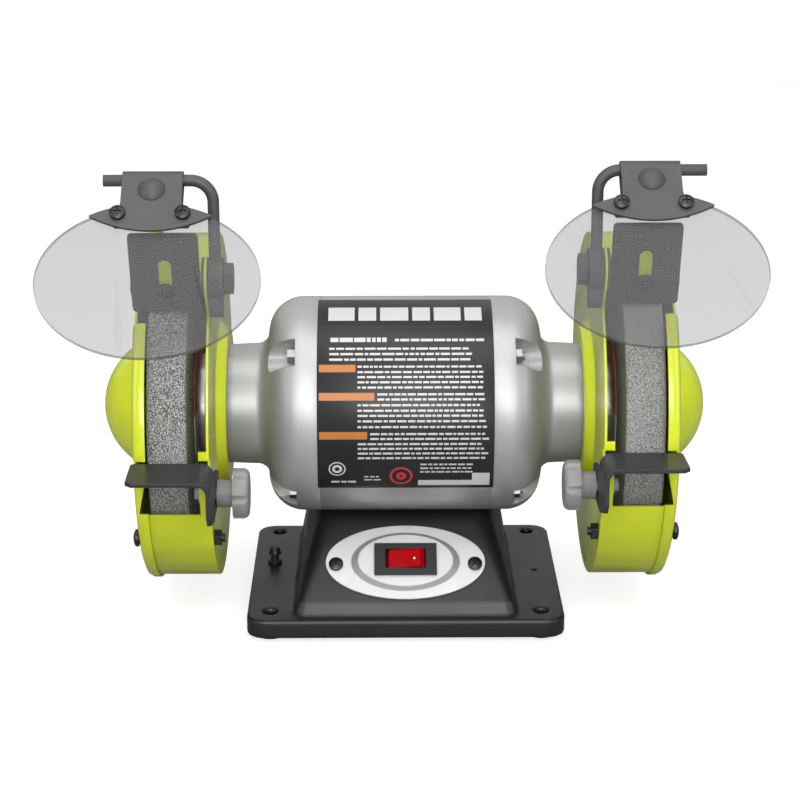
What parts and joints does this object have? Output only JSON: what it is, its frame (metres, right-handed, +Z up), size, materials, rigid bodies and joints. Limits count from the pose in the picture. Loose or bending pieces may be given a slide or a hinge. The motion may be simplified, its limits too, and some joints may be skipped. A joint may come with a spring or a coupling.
{
  "type": "bench grinder",
  "caption": "Bench grinder with a wheel at each end of a motor spindle, sheet guards, sliding tool rests, spark plates and tilting clear eye shields on a hollow base with a rocker switch.",
  "frame": {"origin": "centre of the four bench bolt holes on the bench plane, directly under the middle of the spindle", "axes": "+Z up; +X along the spindle to the right seen from the front; the working front with the switch faces -Y"},
  "size_m": [0.3276, 0.218, 0.2348],
  "materials": {
    "base_paint": "semi-gloss black over fine cast texture",
    "rubber": "matt black",
    "zinc": "zinc plated",
    "switch_panel": "satin silver",
    "black_screws": "black oxide",
    "black_plastic": "fine texture",
    "red_rocker": "glossy translucent red",
    "capacitor_can": "plain moulded can",
    "nameplate": "laminated plate with plain bars",
    "motor_paint": "silver grey metallic paint",
    "lamination": "stacked sheet",
    "copper": "varnished copper wire",
    "cast_aluminium": "as cast",
    "bearing_steel": "ground and polished",
    "blotter_paper": "matt card",
    "coarse_grit": "coarse bonded grit",
    "fine_grit": "fine bonded grit",
    "guard_paint": "lime yellow powder coat",
    "bracket_paint": "satin dark grey",
    "rest_paint": "satin black",
    "knob_plastic": "fine moulded grey",
    "clear_lens": "clear polycarbonate"
  },
  "bodies": {
    "frame": {"base": "base_paint", "rubber_feet": "rubber", "bottom_cover": "zinc", "bottom_cover_screws": "zinc", "switch_plate": "switch_panel", "switch_plate_screws": "black_screws", "switch_housing": "black_plastic", "cord_gland": "rubber", "flange_plug": "black_plastic", "motor_mount_bolts": "zinc", "run_capacitor": "capacitor_can", "nameplate": "nameplate", "stator_shell": "motor_paint", "end_bell_left": "motor_paint", "end_bell_right": "motor_paint", "through_bolts": "zinc", "through_bolt_nuts": "zinc", "stator_core": "lamination", "stator_windings": "copper", "bearing_outer_rings": "bearing_steel", "bearing_balls": "bearing_steel", "guard_inner_left": "guard_paint", "guard_inner_right": "guard_paint", "guard_cover_left": "guard_paint", "guard_cover_right": "guard_paint", "guard_cover_screws": "black_screws", "guard_cover_nuts": "black_screws", "guard_mount_screws": "zinc", "spark_plate_screws": "black_screws", "rest_nuts": "zinc", "clamp_bolts": "bracket_paint", "clamp_nut_plates": "bracket_paint"},
    "spindle": {"spindle_shaft": "zinc", "rotor_core": "lamination", "rotor_cage": "cast_aluminium", "bearing_inner_rings": "bearing_steel", "inner_wheel_flanges": "zinc", "wheel_blotters": "blotter_paper", "wheel_left": "coarse_grit", "wheel_right": "fine_grit", "outer_wheel_flanges": "zinc", "spindle_nuts": "zinc"},
    "rocker": {"rocker": "red_rocker"},
    "tool_rest_left": {"tool_rest_left": "rest_paint"},
    "rest_knob_left": {"rest_knob_left": "knob_plastic"},
    "spark_plate_left": {"spark_plate_left": "bracket_paint"},
    "shield_arm_left": {"shield_arm_left": "bracket_paint"},
    "shield_left": {"shield_bracket_left": "bracket_paint", "shield_lens_left": "clear_lens", "lens_screws_left": "black_screws", "bracket_bolt_left": "bracket_paint"},
    "tool_rest_right": {"tool_rest_right": "rest_paint"},
    "rest_knob_right": {"rest_knob_right": "knob_plastic"},
    "spark_plate_right": {"spark_plate_right": "bracket_paint"},
    "shield_arm_right": {"shield_arm_right": "bracket_paint"},
    "shield_right": {"shield_bracket_right": "bracket_paint", "shield_lens_right": "clear_lens", "lens_screws_right": "black_screws", "bracket_bolt_right": "bracket_paint"}
  },
  "joints": [
    {"name": "spindle_spin", "type": "hinge", "parent": "frame", "child": "spindle", "pos_m": [0, 0, 0.1015], "axis": [1, 0, 0], "continuous": true},
    {"name": "rocker_switch", "type": "hinge", "parent": "frame", "child": "rocker", "pos_m": [0, -0.0444, 0.03443], "axis": [0, 0.766, 0.6428], "range_deg": [0, 18]},
    {"name": "tool_rest_slide_left", "type": "slide", "parent": "frame", "child": "tool_rest_left", "axis": [0, 1, 0], "range_m": [-0.008, 0.0075]},
    {"name": "rest_knob_turn_left", "type": "hinge", "parent": "frame", "child": "rest_knob_left", "pos_m": [-0.077, -0.075, 0.0807], "axis": [1, 0, 0], "range_deg": [0, 360]},
    {"name": "spark_plate_slide_left", "type": "slide", "parent": "frame", "child": "spark_plate_left", "axis": [0, -0.3256, 0.9455], "range_m": [-0.0015, 0.003]},
    {"name": "shield_arm_tilt_left", "type": "hinge", "parent": "frame", "child": "shield_arm_left", "pos_m": [-0.088, -0.062, 0.1815], "axis": [1, 0, 0], "range_deg": [-25, 10]},
    {"name": "shield_tilt_left", "type": "hinge", "parent": "shield_arm_left", "child": "shield_left", "pos_m": [-0.1152, -0.062, 0.2275], "axis": [1, 0, 0], "range_deg": [-60, 20]},
    {"name": "tool_rest_slide_right", "type": "slide", "parent": "frame", "child": "tool_rest_right", "axis": [0, 0.9986, -0.0523], "range_m": [-0.008, 0.0075]},
    {"name": "rest_knob_turn_right", "type": "hinge", "parent": "frame", "child": "rest_knob_right", "pos_m": [0.077, -0.07599, 0.08465], "axis": [-1, 0, 0], "range_deg": [0, 360]},
    {"name": "spark_plate_slide_right", "type": "slide", "parent": "frame", "child": "spark_plate_right", "axis": [0, -0.2756, 0.9613], "range_m": [-0.0015, 0.003]},
    {"name": "shield_arm_tilt_right", "type": "hinge", "parent": "frame", "child": "shield_arm_right", "pos_m": [0.088, -0.05773, 0.18463], "axis": [1, 0, 0], "range_deg": [-25, 10]},
    {"name": "shield_tilt_right", "type": "hinge", "parent": "shield_arm_right", "child": "shield_right", "pos_m": [0.1118, -0.05532, 0.23057], "axis": [1, 0, 0], "range_deg": [-60, 20]}
  ]
}
